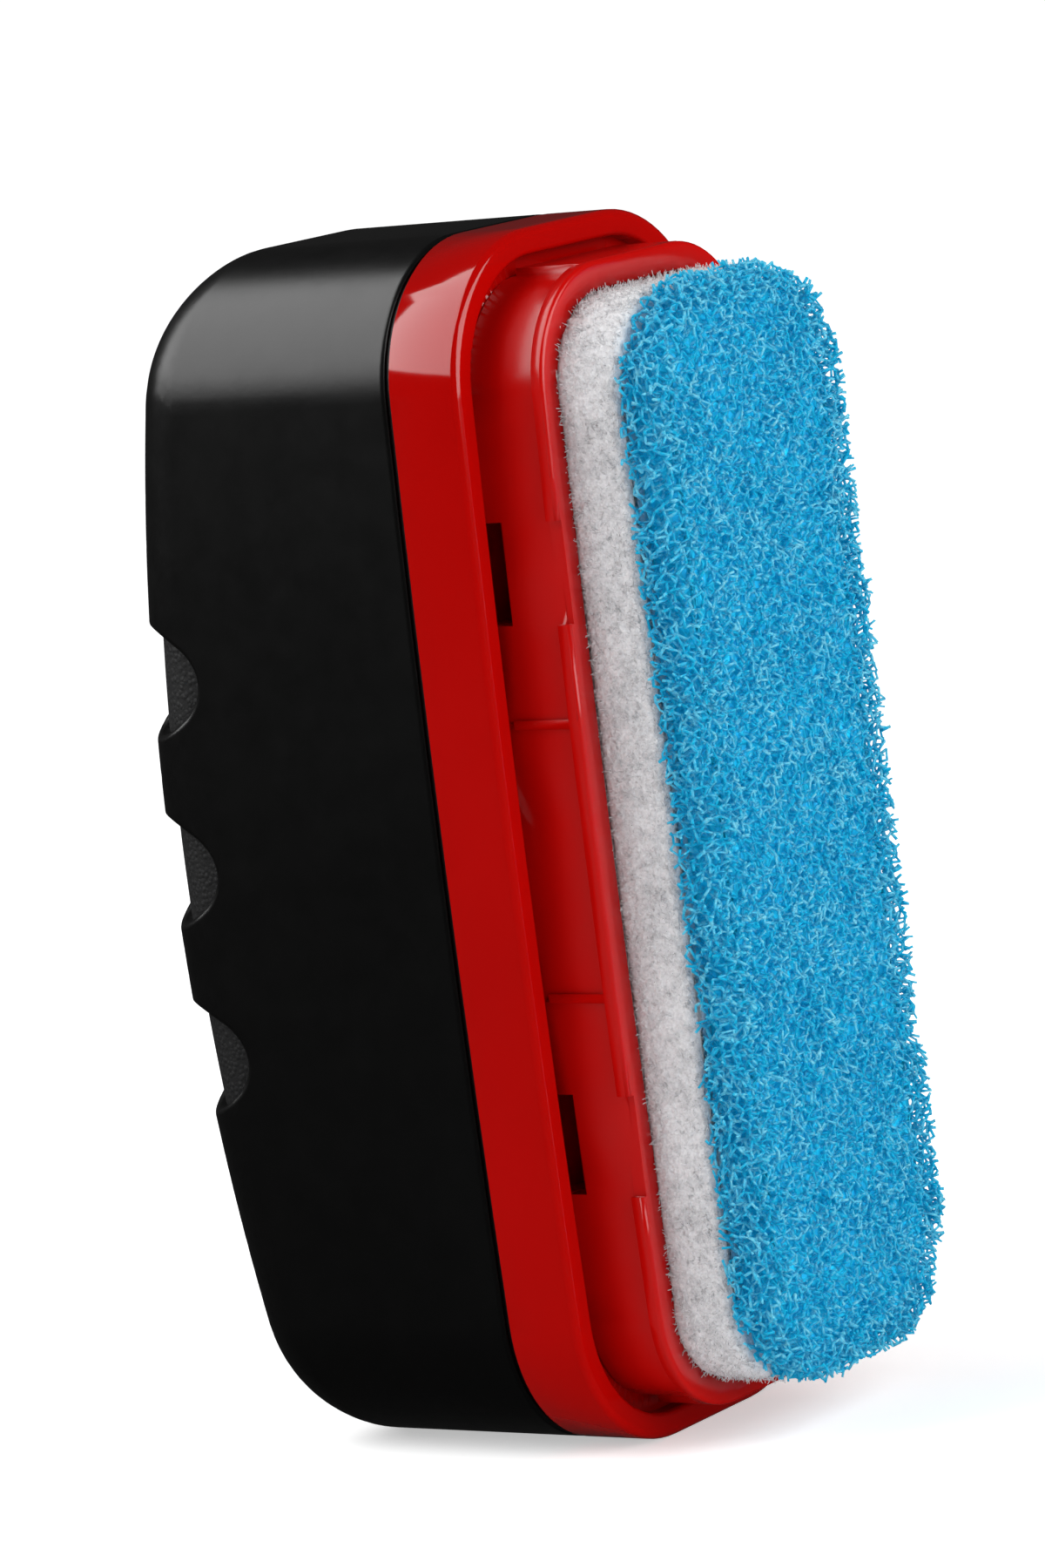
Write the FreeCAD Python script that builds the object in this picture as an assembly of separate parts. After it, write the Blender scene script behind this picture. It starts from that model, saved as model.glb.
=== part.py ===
"""Magnetic glass cleaner: the half that carries the scouring pad.

Frame: +Z runs up the length, with the flat bottom end at Z = 0. -Y faces the glass, +Y is
the palm side and X is the width. The origin is the middle of the bottom end. Depths are
counted from the seam between the black casing and the red base: forward, towards the
glass, is positive. All sizes are in millimetres.
"""
import FreeCAD
import Part
import math
import os

# Overall outline
LENGTH = 120.0
WIDTH = 45.0
CORNER_R = 15.0
SIDE_BOW = 1.3

# Black casing
CASE_DEPTH = 37.2
BACK_ARCH = 6.5
EDGE_R = 7.0
SHOULDER_R = 20.0
SHOULDER_RUN = 12.0
SHELL_WALL = 2.2
RIM_CHAMFER = 0.35
BACK_RIB_WIDTH = 24.0
BACK_RIB_THICK = 1.8
BACK_RIB_PITCH = 40.0
BOSS_SETBACK = 0.5

# Finger pads on the long back edges
FINGER_PITCH = 19.0
FINGER_ROWS = {"lower": -1, "middle": 0, "upper": 1}
SIDES = {"left": -1, "right": 1}
PAD_HALF_LENGTH = 5.25
PAD_HALF_WIDTH = 5.5
PAD_THICK = 0.9
PAD_RECESS = 1.3
PAD_BACKING = 1.4
PAD_EDGE_R = 0.25
POCKET_EDGE_R = 0.7

# Seam
GASKET_THICK = 0.8
GASKET_INSET = 0.6
SPIGOT_DEPTH = 3.0
SPIGOT_WALL = 1.5

# Red base
BAND_DEPTH = 8.0
BAND_WALL = 2.6
BAND_EDGE_R = 0.8
BAND_INNER_EDGE_R = 0.5
GROOVE_FLOOR_DEPTH = 6.0
FLOOR_THICK = 2.0
PLINTH_DEPTH = 11.2
PLINTH_WALL = 2.0

# Red pad holder
HOLDER_INSET = 4.3
HOLDER_WALL = 1.7
HOLDER_DEPTH = 15.4
HOLDER_FLOOR = 2.15
LIP_OVERHANG = 0.7
LIP_THICK = 1.4
LIP_EDGE_R = 0.45
RIM_WIDTH = 2.0
WALL_RIB_PITCH = 26.8
WALL_RIB_WIDTH = 0.9
WALL_RIB_PROUD = 0.35
WALL_RIB_FOOT = 1.0
END_LUG_WIDTH = 17.0
END_LUG_PROUD = 0.6
END_LUG_FOOT = 0.8

# Push-in tabs of the pad holder and their sockets in the base
TAB_PITCH = 28.0
TAB_LENGTH = 9.8
TAB_THICK = 1.5
TAB_REACH = 3.7
TAB_TIP_GAP = 0.5
SOCKET_MARGIN = 1.0
SOCKET_WALL = 1.2

# Pry slots through the holder's wall, with blind pockets in the base and notches in the lip
PRY_PITCH = 56.0
PRY_LENGTH = 10.0
PRY_FRONT_DEPTH = 8.3
PRY_POCKET_INSET = 9.8
PRY_POCKET_BACK = 4.2
PRY_POCKET_WALL = 0.9

# Magnets and steel
MAGNET_COUNT = 3
MAGNET_THICK = 10.0
MAGNET_GAP = 2.0
MAGNET_CORNER_R = 0.8
MAGNET_RIB_SETBACK = 1.0
ROW_END_GAP = 4.0
ROW_SIDE_GAP = 0.38
YOKE_THICK = 3.0
CLAMP_THICK = 2.5
CLAMP_SETBACK = 1.0
TONGUE_WIDTH = 8.0

# Screws
WELL_FROM_SIDE = 7.7
WELL_FROM_END = 4.7
SCREW_R = 1.5
SCREW_HEAD_R = 2.8
SCREW_HEAD = 2.0
SCREW_LENGTH = 12.0
WELL_FLOOR = 2.5
WELL_WALL = 0.9
CASE_BOSS_R = 3.5
ORING_R = 2.15
ORING_SECTION_R = 0.5
CLAMP_SCREW_SHIFT = 1.0
CLAMP_SCREW_R = 1.25
CLAMP_SCREW_HEAD_R = 2.4
CLAMP_SCREW_LENGTH = 9.0
CLAMP_BOSS_R = 3.0
DRIVE_WIDTH = 0.8
DRIVE_LENGTH = 2.8
DRIVE_DEPTH = 1.1

# Pad
TAPE_THICK = 0.8
TAPE_SIDE_GAP = 5.2
TAPE_END_GAP = 7.7
TAPE_GAP = 8.0
LOOP_THICK = 0.6
FLEECE_SIDE_GAP = 0.4
FLEECE_DEPTH = 22.2
SCOUR_INSET = 5.9
SCOUR_DEPTH = 27.7
FOAM_EDGE_R = 1.5

# Clearances
SLIDE_GAP = 0.1
SOFT_GAP = 0.3
SEAT_GAP = 0.05
THREAD_GAP = 0.02
SPIGOT_GAP = 0.15
HEAD_GAP = 0.4

# How far blocks of one moulding run into each other, and how far a cut runs past a face
MERGE = 0.5
PAST = 1.0

# Worked out from the sizes above
SEAM_Y = (SCOUR_DEPTH - CASE_DEPTH) / 2.0
MID_Z = LENGTH / 2.0
GROOVE_BACK_DEPTH = GROOVE_FLOOR_DEPTH - FLOOR_THICK
PAD_FLOOR = PAD_RECESS + PAD_THICK
SPIGOT_INSET = SHELL_WALL + SPIGOT_GAP
PLINTH_INSET = HOLDER_INSET + HOLDER_WALL + SOFT_GAP
CHAMBER_INSET = PLINTH_INSET + PLINTH_WALL
RECESS_INSET = HOLDER_INSET + RIM_WIDTH
FLEECE_INSET = RECESS_INSET + FLEECE_SIDE_GAP
SOCKET_LENGTH = TAB_LENGTH + 2.0 * SLIDE_GAP
SOCKET_DEPTH = TAB_REACH + TAB_TIP_GAP
SOCKET_INSET = HOLDER_INSET - SOCKET_MARGIN
SCREW_X = WIDTH / 2.0 - PLINTH_INSET - WELL_FROM_SIDE
SCREW_END = PLINTH_INSET + WELL_FROM_END
CLAMP_SCREW_END = SCREW_END + CLAMP_SCREW_SHIFT
WELL_R = SCREW_HEAD_R + HEAD_GAP
MAGNET_FRONT = PLINTH_DEPTH - PLINTH_WALL
MAGNET_BACK = MAGNET_FRONT - MAGNET_THICK
YOKE_BACK = MAGNET_BACK - YOKE_THICK
CLAMP_BACK = YOKE_BACK - CLAMP_THICK
ROW_LENGTH = LENGTH - 2.0 * (CLAMP_SCREW_END + CLAMP_BOSS_R + ROW_END_GAP)
MAGNET_LENGTH = (ROW_LENGTH - (MAGNET_COUNT - 1) * MAGNET_GAP) / MAGNET_COUNT
TAPE_WIDTH = WIDTH - 2.0 * (RECESS_INSET + TAPE_SIDE_GAP)
TAPE_LENGTH = (LENGTH - 2.0 * (RECESS_INSET + TAPE_END_GAP) - TAPE_GAP) / 2.0
HOLDER_BACK = GROOVE_FLOOR_DEPTH + SOFT_GAP
HOLDER_SEAT = PLINTH_DEPTH + SEAT_GAP
RECESS_FLOOR = HOLDER_SEAT + HOLDER_FLOOR
HEAD_SEAT = WELL_FLOOR + 2.0 * ORING_SECTION_R + THREAD_GAP
PAD_BACK = RECESS_FLOOR + TAPE_THICK + SEAT_GAP
LOOP_FRONT = PAD_BACK + LOOP_THICK
ARCH_R = (MID_Z ** 2 + BACK_ARCH ** 2) / (2.0 * BACK_ARCH)


def vec(x, y, z):
    return FreeCAD.Vector(x, y, z)


def y_at(depth):
    """Y of a plane that lies so far forward of the seam."""
    return SEAM_Y - depth


def arc_drop(radius, offset):
    """How far an arc has fallen at an offset from its crown."""
    return radius - math.sqrt(radius ** 2 - offset ** 2)


def half_width_at(z, inset=0.0):
    """Half of the width at a height, on the bowed side, moved in by an inset."""
    half = LENGTH / 2.0 - inset
    bow_r = (half ** 2 + SIDE_BOW ** 2) / (2.0 * SIDE_BOW)
    return WIDTH / 2.0 - inset - arc_drop(bow_r, z - MID_Z)


def back_depth_at(z):
    """Depth of the arched back at a height between the two shoulders."""
    return CASE_DEPTH - arc_drop(ARCH_R, z - MID_Z)


def box(x0, x1, depth0, depth1, z0, z1):
    """A block between two X values, two depths and two heights."""
    low_y = y_at(max(depth0, depth1))
    return Part.makeBox(x1 - x0, abs(depth1 - depth0), z1 - z0, vec(x0, low_y, z0))


def rod(x, z, radius, depth0, depth1):
    """A cylinder along Y between two depths."""
    low = min(depth0, depth1)
    return Part.makeCylinder(radius, abs(depth1 - depth0), vec(x, y_at(low), z), vec(0, -1, 0))


def is_along_y(edge):
    first, last = edge.Vertexes[0].Point, edge.Vertexes[-1].Point
    return math.hypot(first.x - last.x, first.z - last.z) < 1e-6


def slab(inset, depth0, depth1):
    """The rounded outline, moved in by an inset, as a solid between two depths."""
    wide = WIDTH / 2.0 - inset
    corner = wide - SIDE_BOW
    half = LENGTH / 2.0 - inset
    y = y_at(min(depth0, depth1))
    low, high = MID_Z - half, MID_Z + half
    right = Part.Arc(vec(corner, y, low), vec(wide, y, MID_Z), vec(corner, y, high))
    left = Part.Arc(vec(-corner, y, high), vec(-wide, y, MID_Z), vec(-corner, y, low))
    top = Part.LineSegment(vec(corner, y, high), vec(-corner, y, high))
    bottom = Part.LineSegment(vec(-corner, y, low), vec(corner, y, low))
    wire = Part.Wire([curve.toShape() for curve in (right, top, left, bottom)])
    solid = Part.Face(wire).extrude(vec(0, -abs(depth1 - depth0), 0))
    corners = [edge for edge in solid.Edges if is_along_y(edge)]
    return solid.makeFillet(CORNER_R - inset, corners)


def ring(inset, inner_inset, depth0, depth1):
    """The outline as a closed band between two insets."""
    core = slab(inner_inset, min(depth0, depth1) - PAST, max(depth0, depth1) + PAST)
    return slab(inset, depth0, depth1).cut(core)


def both_ends(z_from_end):
    return (z_from_end, LENGTH - z_from_end)


def mirrored_places(pitch):
    """The four places (side, height) that lie at half a pitch from mid-length."""
    return [(side, MID_Z + step * pitch / 2.0) for side in (-1, 1) for step in (-1, 1)]


def back_point(centre_depth, centre_offset, radius, angle, end):
    """A point of the back's side view, at an angle from straight back, towards one end."""
    z = MID_Z + end * (centre_offset + radius * math.sin(angle))
    return vec(-WIDTH, y_at(-(centre_depth + radius * math.cos(angle))), z)


def back_curves(inset):
    """The back's side view from the low end to the high one: shoulder, arch, shoulder.

    Each shoulder is tangent to the arch and runs on a little past the end of the casing.
    """
    past_end = 3.0
    centre = CASE_DEPTH - ARCH_R
    start = math.asin((MID_Z - SHOULDER_RUN) / ARCH_R)
    shoulder_centre = centre + (ARCH_R - SHOULDER_R) * math.cos(start)
    shoulder_offset = (ARCH_R - SHOULDER_R) * math.sin(start)
    radius = SHOULDER_R - inset
    stop = math.asin((MID_Z + past_end - shoulder_offset) / SHOULDER_R)
    angles = (start, (start + stop) / 2.0, stop)
    low, high = (
        [back_point(shoulder_centre, shoulder_offset, radius, angle, end) for angle in angles]
        for end in (-1, 1)
    )
    crown = back_point(centre, 0.0, ARCH_R - inset, 0.0, 1)
    return [
        Part.Arc(low[2], low[1], low[0]),
        Part.Arc(low[0], crown, high[0]),
        Part.Arc(high[0], high[1], high[2]),
    ]


def case_body(inset, front):
    """The casing's outer form, moved in by an inset: the back's side view with rounded edges."""
    curves = back_curves(inset)
    low, high = curves[0].StartPoint, curves[-1].EndPoint
    front_low = vec(-WIDTH, y_at(front), low.z)
    front_high = vec(-WIDTH, y_at(front), high.z)
    curves.append(Part.LineSegment(high, front_high))
    curves.append(Part.LineSegment(front_high, front_low))
    curves.append(Part.LineSegment(front_low, low))
    wire = Part.Wire([curve.toShape() for curve in curves])
    side_view = Part.Face(wire).extrude(vec(2.0 * WIDTH, 0, 0))
    body = slab(inset, front, -CASE_DEPTH - PAST).common(side_view)
    return body.makeFillet(EDGE_R - inset, [edge for edge in body.Edges if is_back_edge(edge)])


def is_back_edge(edge):
    """True for the edges round the back, and not for those across it or at the seam."""
    middle = edge.valueAt((edge.FirstParameter + edge.LastParameter) / 2.0)
    behind = edge.BoundBox.YMin > y_at(-CASE_DEPTH / 2.0)
    across = abs(middle.x) < 1e-6 and abs(middle.z - MID_Z) < MID_Z - SHOULDER_RUN / 2.0
    return behind and not across and not is_along_y(edge)


def finger_places():
    """Name, corner point and outward direction of each finger pad."""
    lean = math.sqrt(0.5)
    for side_name, side in SIDES.items():
        for row_name, row in FINGER_ROWS.items():
            z = MID_Z + row * FINGER_PITCH
            corner = vec(side * half_width_at(z), y_at(-back_depth_at(z)), z)
            yield f"finger_pad_{side_name}_{row_name}", corner, vec(side * lean, lean, 0)


def finger_prism(corner, outward, grow):
    """An oval prism along the outward direction, through the rounded back edge."""
    reach = 2.0 * EDGE_R
    centre = corner - outward * reach
    across = vec(outward.y, -outward.x, 0) * (PAD_HALF_WIDTH + grow)
    along = vec(0, 0, PAD_HALF_LENGTH + grow)
    minor, major = sorted((across, along), key=lambda axis: axis.Length)
    oval = Part.Ellipse(centre + major, centre + minor, centre)
    return Part.Face(Part.Wire(oval.toShape())).extrude(outward * 2.0 * reach)


def shared_edges(solid, first, second):
    """Edges of a solid that lie both on the skin of one body and on that of another."""
    chosen = []
    for edge in solid.Edges:
        middle = Part.Vertex(edge.valueAt((edge.FirstParameter + edge.LastParameter) / 2.0))
        if all(middle.distToShape(body.Shells[0])[0] < 1e-4 for body in (first, second)):
            chosen.append(edge)
    return chosen


def finger_pads():
    """One soft pad in each pocket, following the rounded back edge, with its rim rounded."""
    face = case_body(PAD_RECESS, 0.0)
    floor = case_body(PAD_FLOOR, 0.0)
    pads = {}
    for name, corner, outward in finger_places():
        prism = finger_prism(corner, outward, 0.0)
        pad = prism.common(face).cut(floor)
        pads[name] = pad.makeFillet(PAD_EDGE_R, shared_edges(pad, face, prism))
    return pads


def grip_shell():
    """Black casing: hollow, open at the seam, with screw bosses and two back ribs."""
    rim = -GASKET_THICK
    outer = case_body(0.0, rim)
    outer = outer.makeChamfer(RIM_CHAMFER, [edge for edge in outer.Edges if in_plane(edge, rim)])
    cavity = case_body(SHELL_WALL, rim + PAST)
    keep = case_body(SHELL_WALL / 2.0, rim - BOSS_SETBACK)
    inside = []
    for z in both_ends(SCREW_END):
        for side in (-1, 1):
            inside.append(rod(side * SCREW_X, z, CASE_BOSS_R, rim - BOSS_SETBACK, -CASE_DEPTH))
    for step in (-1, 1):
        z = MID_Z + step * BACK_RIB_PITCH / 2.0
        half, thick = BACK_RIB_WIDTH / 2.0, BACK_RIB_THICK / 2.0
        inside.append(box(-half, half, CLAMP_BACK - SLIDE_GAP, -CASE_DEPTH, z - thick, z + thick))
    behind_pads = case_body(PAD_FLOOR + PAD_BACKING, rim)
    for _, corner, outward in finger_places():
        inside.append(finger_prism(corner, outward, PAD_BACKING).cut(behind_pads))
    extras = inside[0].multiFuse(inside[1:]).common(keep)
    shell = outer.cut(cavity).fuse(extras)
    pocket_floor = case_body(PAD_FLOOR, rim)
    prisms = [finger_prism(corner, outward, SEAT_GAP) for _, corner, outward in finger_places()]
    tools = [prism.cut(pocket_floor) for prism in prisms]
    for z in both_ends(SCREW_END):
        for side in (-1, 1):
            tools.append(
                rod(side * SCREW_X, z, SCREW_R + THREAD_GAP, 0.0, HEAD_SEAT - SCREW_LENGTH - PAST)
            )
    shell = shell.cut(tools[0].multiFuse(tools[1:])).removeSplitter()
    for prism in prisms:
        shell = shell.makeFillet(POCKET_EDGE_R, shared_edges(shell, outer, prism))
    return shell


def seam_gasket():
    """Flat rubber ring squeezed between the casing's rim and the base."""
    return ring(GASKET_INSET, SPIGOT_INSET - SEAT_GAP, -GASKET_THICK, 0.0)


def side_blocks(pitch, inset0, inset1, length, depth0, depth1):
    """Four blocks at a pitch along the two bowed sides, between two insets."""
    blocks = []
    for side, z in mirrored_places(pitch):
        near = half_width_at(z, inset1)
        far = half_width_at(z, inset0)
        low, high = (near, far) if side > 0 else (-far, -near)
        blocks.append(box(low, high, depth0, depth1, z - length / 2.0, z + length / 2.0))
    return blocks


def base_frame():
    """Red base: outer band, groove floor, plinth over the magnets, wells and sockets."""
    band = ring(0.0, BAND_WALL, 0.0, BAND_DEPTH)
    band = band.makeFillet(BAND_EDGE_R, outline_edges(band, BAND_DEPTH, 0.0))
    band = band.makeFillet(BAND_INNER_EDGE_R, outline_edges(band, BAND_DEPTH, BAND_WALL))
    spigot = ring(SPIGOT_INSET, SPIGOT_INSET + SPIGOT_WALL, -SPIGOT_DEPTH, GROOVE_FLOOR_DEPTH)
    floor = ring(BAND_WALL / 2.0, CHAMBER_INSET, GROOVE_BACK_DEPTH, GROOVE_FLOOR_DEPTH)
    plinth = slab(PLINTH_INSET, GROOVE_BACK_DEPTH, PLINTH_DEPTH)
    chamber = slab(CHAMBER_INSET, GROOVE_BACK_DEPTH - PAST, MAGNET_FRONT)
    parts = [spigot, floor, plinth.cut(chamber)]
    for z in both_ends(SCREW_END):
        for side in (-1, 1):
            parts.append(rod(side * SCREW_X, z, WELL_R + WELL_WALL, 0.0, MAGNET_FRONT + MERGE))
    for z in both_ends(CLAMP_SCREW_END):
        parts.append(rod(0.0, z, CLAMP_BOSS_R, YOKE_BACK, MAGNET_FRONT + MERGE))
    parts.extend(magnet_ribs())
    parts.extend(pry_pocket_walls())
    cup_length = SOCKET_LENGTH + 2.0 * SOCKET_WALL
    cup_back = GROOVE_FLOOR_DEPTH - SOCKET_DEPTH - SOCKET_WALL
    parts.extend(side_blocks(
        TAB_PITCH, SPIGOT_INSET + SLIDE_GAP, PLINTH_INSET + MERGE, cup_length, cup_back,
        GROOVE_BACK_DEPTH + MERGE
    ))
    base = band.multiFuse(parts)
    tools = side_blocks(
        TAB_PITCH, SOCKET_INSET, HOLDER_INSET + SLIDE_GAP + TAB_THICK + SLIDE_GAP, SOCKET_LENGTH,
        GROOVE_FLOOR_DEPTH - SOCKET_DEPTH, GROOVE_FLOOR_DEPTH + PAST
    )
    tools.extend(side_blocks(
        PRY_PITCH, HOLDER_INSET, PRY_POCKET_INSET, PRY_LENGTH, PRY_POCKET_BACK, PRY_FRONT_DEPTH
    ))
    for z in both_ends(SCREW_END):
        for side in (-1, 1):
            tools.append(rod(side * SCREW_X, z, WELL_R, WELL_FLOOR, PLINTH_DEPTH + PAST))
            tools.append(rod(side * SCREW_X, z, SCREW_R + THREAD_GAP, -PAST, WELL_FLOOR + PAST))
    for z in both_ends(CLAMP_SCREW_END):
        bore_end = CLAMP_BACK + CLAMP_SCREW_LENGTH + PAST
        tools.append(rod(0.0, z, CLAMP_SCREW_R + THREAD_GAP, YOKE_BACK - PAST, bore_end))
    return base.cut(tools[0].multiFuse(tools[1:])).removeSplitter()


def pry_pocket_walls():
    """Blind cups behind the pry slots: under the groove floor and inside the plinth."""
    length = PRY_LENGTH + 2.0 * PRY_POCKET_WALL
    back, front = PRY_POCKET_BACK - PRY_POCKET_WALL, PRY_FRONT_DEPTH + PRY_POCKET_WALL
    inner = PRY_POCKET_INSET + PRY_POCKET_WALL
    under = side_blocks(
        PRY_PITCH, SPIGOT_INSET + SLIDE_GAP, inner, length, back, GROOVE_BACK_DEPTH + MERGE
    )
    return under + side_blocks(PRY_PITCH, PLINTH_INSET + MERGE, inner, length, back, front)


def outline_edges(solid, depth, inset):
    """Edges in the plane of one depth that follow the outline of one inset."""
    sample = slab(inset, depth - 0.5, depth)
    targets = [edge for edge in sample.Edges if in_plane(edge, depth)]
    chosen = []
    for edge in solid.Edges:
        if not in_plane(edge, depth):
            continue
        middle = Part.Vertex(edge.valueAt((edge.FirstParameter + edge.LastParameter) / 2.0))
        if min(middle.distToShape(target)[0] for target in targets) < 1e-4:
            chosen.append(edge)
    return chosen


def in_plane(edge, depth):
    bounds = edge.BoundBox
    return abs(bounds.YMin - y_at(depth)) < 1e-4 and abs(bounds.YMax - y_at(depth)) < 1e-4


def magnet_half_width():
    """Half the width that the pry pockets leave free at the ends of the magnet row."""
    return half_width_at(MID_Z + ROW_LENGTH / 2.0, PRY_POCKET_INSET + PRY_POCKET_WALL) - ROW_SIDE_GAP


def magnet_centres():
    pitch = MAGNET_LENGTH + MAGNET_GAP
    first = MID_Z - pitch * (MAGNET_COUNT - 1) / 2.0
    return [first + pitch * index for index in range(MAGNET_COUNT)]


def magnet_ribs():
    """Low walls of the base that keep the magnets apart, and one at each end of the row."""
    thick = MAGNET_GAP - 2.0 * SLIDE_GAP
    pitch = MAGNET_LENGTH + MAGNET_GAP
    wide = magnet_half_width()
    back, front = MAGNET_BACK + MAGNET_RIB_SETBACK, MAGNET_FRONT + MERGE
    ribs = []
    for index in range(MAGNET_COUNT + 1):
        z = magnet_centres()[0] - pitch / 2.0 + pitch * index
        ribs.append(box(-wide, wide, back, front, z - thick / 2.0, z + thick / 2.0))
    return ribs


def magnets():
    """Block magnets in a row behind the front wall of the base."""
    wide, half = magnet_half_width(), MAGNET_LENGTH / 2.0
    blocks = {}
    for name, z in zip(FINGER_ROWS, magnet_centres()):
        block = box(-wide, wide, MAGNET_BACK, MAGNET_FRONT - SEAT_GAP, z - half, z + half)
        uprights = [edge for edge in block.Edges if is_along_y(edge)]
        blocks[f"magnet_{name}"] = block.makeFillet(MAGNET_CORNER_R, uprights)
    return blocks


def yoke_plate():
    """Steel plate that closes the magnets' field on the palm side."""
    wide, half = magnet_half_width(), ROW_LENGTH / 2.0
    return box(-wide, wide, YOKE_BACK + SEAT_GAP, MAGNET_BACK, MID_Z - half, MID_Z + half)


def magnet_clamp():
    """Plate that presses the yoke and magnets into the base, with a tongue at each end."""
    wide, half = magnet_half_width() - CLAMP_SETBACK, ROW_LENGTH / 2.0
    plate = box(-wide, wide, CLAMP_BACK, YOKE_BACK, MID_Z - half, MID_Z + half)
    tongue_end = CLAMP_SCREW_END - TONGUE_WIDTH / 2.0
    tongue = box(
        -TONGUE_WIDTH / 2.0, TONGUE_WIDTH / 2.0, CLAMP_BACK, YOKE_BACK, tongue_end, LENGTH - tongue_end
    )
    clamp = plate.fuse(tongue)
    holes = [rod(0.0, z, CLAMP_SCREW_R + SLIDE_GAP, CLAMP_BACK - PAST, YOKE_BACK + PAST)
             for z in both_ends(CLAMP_SCREW_END)]
    return clamp.cut(holes[0].multiFuse(holes[1:])).removeSplitter()


def screw(x, z, seat, towards, shank_r, head_r, length):
    """Pan-head screw: its head stands off the seat against the driving direction.

    towards is +1 for a screw driven towards the glass and -1 for one driven away from it.
    """
    head = rod(x, z, head_r, seat, seat - towards * SCREW_HEAD)
    top = seat - towards * SCREW_HEAD
    rim = [edge for edge in head.Edges if in_plane(edge, top)]
    head = head.makeFillet(SCREW_HEAD / 3.0, rim)
    shank = rod(x, z, shank_r, seat, seat + towards * length)
    tip = [edge for edge in shank.Edges if in_plane(edge, seat + towards * length)]
    body = head.fuse(shank.makeChamfer(shank_r * 0.6, tip))
    half, wide = DRIVE_LENGTH / 2.0, DRIVE_WIDTH / 2.0
    bottom = top + towards * DRIVE_DEPTH
    slot = box(x - half, x + half, top, bottom, z - wide, z + wide)
    cross = box(x - wide, x + wide, top, bottom, z - half, z + half)
    return body.cut(slot.fuse(cross))


def base_screws():
    """Four screws from the plinth's wells into the casing's bosses."""
    return Part.makeCompound([
        screw(side * SCREW_X, z, HEAD_SEAT, -1, SCREW_R, SCREW_HEAD_R, SCREW_LENGTH)
        for z in both_ends(SCREW_END) for side in (-1, 1)
    ])


def screw_seals():
    """O-rings under the heads of the base screws, which keep the magnet chamber dry."""
    rings = []
    for z in both_ends(SCREW_END):
        for side in (-1, 1):
            centre = vec(side * SCREW_X, y_at(WELL_FLOOR + ORING_SECTION_R), z)
            rings.append(Part.makeTorus(ORING_R, ORING_SECTION_R, centre, vec(0, 1, 0)))
    return Part.makeCompound(rings)


def clamp_screws():
    """Two screws through the clamp's tongues into the base."""
    return Part.makeCompound([
        screw(0.0, z, CLAMP_BACK, 1, CLAMP_SCREW_R, CLAMP_SCREW_HEAD_R, CLAMP_SCREW_LENGTH)
        for z in both_ends(CLAMP_SCREW_END)
    ])


def pad_holder():
    """Red tray over the plinth: wall, overhanging lip, recess for the pad, tabs and pry slots."""
    lip_back = HOLDER_DEPTH - LIP_THICK
    lip_inset = HOLDER_INSET - LIP_OVERHANG
    lip = slab(lip_inset, lip_back, HOLDER_DEPTH)
    lip = lip.makeFillet(LIP_EDGE_R, outline_edges(lip, HOLDER_DEPTH, lip_inset))
    trimmed = slab(HOLDER_INSET, HOLDER_BACK, lip_back + LIP_THICK / 2.0)
    notches = side_blocks(PRY_PITCH, -PAST, HOLDER_INSET, PRY_LENGTH, lip_back - PAST, HOLDER_DEPTH + PAST)
    lip = lip.cut(notches[0].multiFuse(notches[1:]))
    parts = [lip]
    for side, z in mirrored_places(WALL_RIB_PITCH):
        near = half_width_at(z, HOLDER_INSET + MERGE)
        far = half_width_at(z, HOLDER_INSET - WALL_RIB_PROUD)
        low, high = (near, far) if side > 0 else (-far, -near)
        half = WALL_RIB_WIDTH / 2.0
        parts.append(box(low, high, HOLDER_BACK + WALL_RIB_FOOT, lip_back + MERGE, z - half, z + half))
    half = END_LUG_WIDTH / 2.0
    face, root = HOLDER_INSET - END_LUG_PROUD, HOLDER_INSET + MERGE
    for low, high in ((face, root), (LENGTH - root, LENGTH - face)):
        parts.append(box(-half, half, HOLDER_BACK + END_LUG_FOOT, lip_back + MERGE, low, high))
    tab_inset = HOLDER_INSET + SLIDE_GAP
    parts.extend(side_blocks(
        TAB_PITCH, tab_inset, tab_inset + TAB_THICK, TAB_LENGTH,
        GROOVE_FLOOR_DEPTH - TAB_REACH, HOLDER_BACK + MERGE
    ))
    holder = trimmed.multiFuse(parts)
    under = slab(HOLDER_INSET + HOLDER_WALL, HOLDER_BACK, HOLDER_SEAT)
    recess = slab(RECESS_INSET, RECESS_FLOOR, HOLDER_DEPTH + PAST)
    slots = side_blocks(
        PRY_PITCH, -PAST, PLINTH_INSET, PRY_LENGTH, HOLDER_BACK - PAST, PRY_FRONT_DEPTH
    )
    return holder.cut([under, recess] + slots).removeSplitter()


def hook_tapes():
    """Two strips of hook tape glued to the floor of the holder's recess."""
    tapes = {}
    half = TAPE_WIDTH / 2.0
    front = RECESS_FLOOR + TAPE_THICK
    for name, step in (("lower", -1), ("upper", 1)):
        z = MID_Z + step * (TAPE_GAP + TAPE_LENGTH) / 2.0
        low, high = z - TAPE_LENGTH / 2.0, z + TAPE_LENGTH / 2.0
        tapes[f"hook_tape_{name}"] = box(-half, half, RECESS_FLOOR, front, low, high)
    return tapes


def loop_sheet():
    """Loop cloth on the back of the pad, which grips the hook tape."""
    return slab(FLEECE_INSET, PAD_BACK, LOOP_FRONT)


def fleece_layer():
    """White fine foam between the loop cloth and the scouring layer."""
    return slab(FLEECE_INSET, LOOP_FRONT, FLEECE_DEPTH)


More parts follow.
